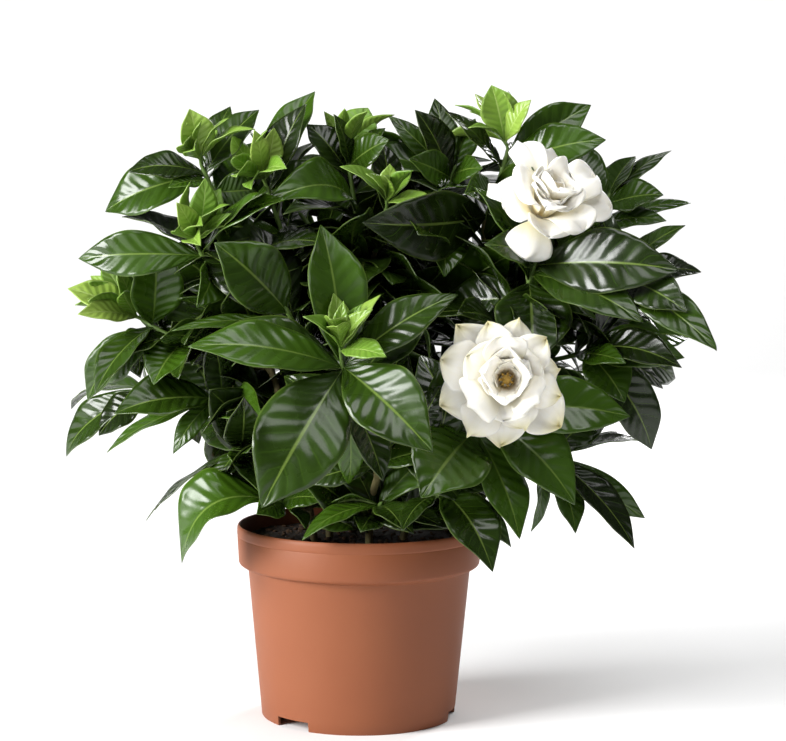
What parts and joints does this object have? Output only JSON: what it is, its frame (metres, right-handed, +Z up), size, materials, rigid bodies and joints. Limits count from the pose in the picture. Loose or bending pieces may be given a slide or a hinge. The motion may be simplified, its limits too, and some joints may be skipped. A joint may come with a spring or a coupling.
{
  "type": "potted gardenia",
  "caption": "Bushy flowering gardenia with glossy dark green leaves, light new growth and open white double blooms, in a round tapered terracotta-coloured nursery pot.",
  "frame": {"origin": "on the ground under the middle of the pot", "axes": "+Z up; -Y towards the side with the open blooms; +X to the right of a viewer who faces them"},
  "size_m": [0.3768, 0.2865, 0.3604],
  "materials": {
    "pot": "moulded polypropylene, terracotta colour, matte",
    "soil": "moist peat and bark potting soil, crumbly",
    "bark": "thin grey-brown bark",
    "leaf": "leathery evergreen leaf, waxy gloss above, paler and duller below",
    "young_leaf": "tender yellow-green new leaf, soft gloss",
    "petal": "thick waxy white to cream petal, satin",
    "stigma": "brown-gold fleshy stigma, matte"
  },
  "bodies": {
    "root": {"flower_front": "petal", "flower_front_stigma": "stigma", "flower_rear": "petal", "growth_front": "young_leaf", "growth_left": "young_leaf", "growth_left_upper": "young_leaf", "growth_middle": "young_leaf", "growth_top_left": "young_leaf", "growth_top_middle": "young_leaf", "growth_top_middle_left": "young_leaf", "growth_top_right": "young_leaf", "pot": "pot", "shoot_far_1": "leaf", "shoot_far_10": "leaf", "shoot_far_11": "leaf", "shoot_far_12": "leaf", "shoot_far_13": "leaf", "shoot_far_2": "leaf", "shoot_far_3": "leaf", "shoot_far_4": "leaf", "shoot_far_5": "leaf", "shoot_far_6": "leaf", "shoot_far_7": "leaf", "shoot_far_8": "leaf", "shoot_far_9": "leaf", "shoot_front_flower": "leaf", "shoot_front_whorl": "leaf", "shoot_left": "leaf", "shoot_left_far": "leaf", "shoot_left_lower": "leaf", "shoot_left_upper": "leaf", "shoot_low_left": "leaf", "shoot_middle": "leaf", "shoot_middle_left": "leaf", "shoot_rear_flower": "leaf", "shoot_right": "leaf", "shoot_right_bottom": "leaf", "shoot_right_lower": "leaf", "shoot_right_upper": "leaf", "shoot_rim_left": "leaf", "shoot_rim_middle": "leaf", "shoot_rim_right": "leaf", "shoot_top_left": "leaf", "shoot_top_middle": "leaf", "shoot_top_middle_left": "leaf", "shoot_top_middle_right": "leaf", "shoot_top_right": "leaf", "soil": "soil", "stem_front": "bark", "stem_left": "bark", "stem_middle": "bark", "stem_rear": "bark", "stem_right": "bark"}
  },
  "joints": []
}
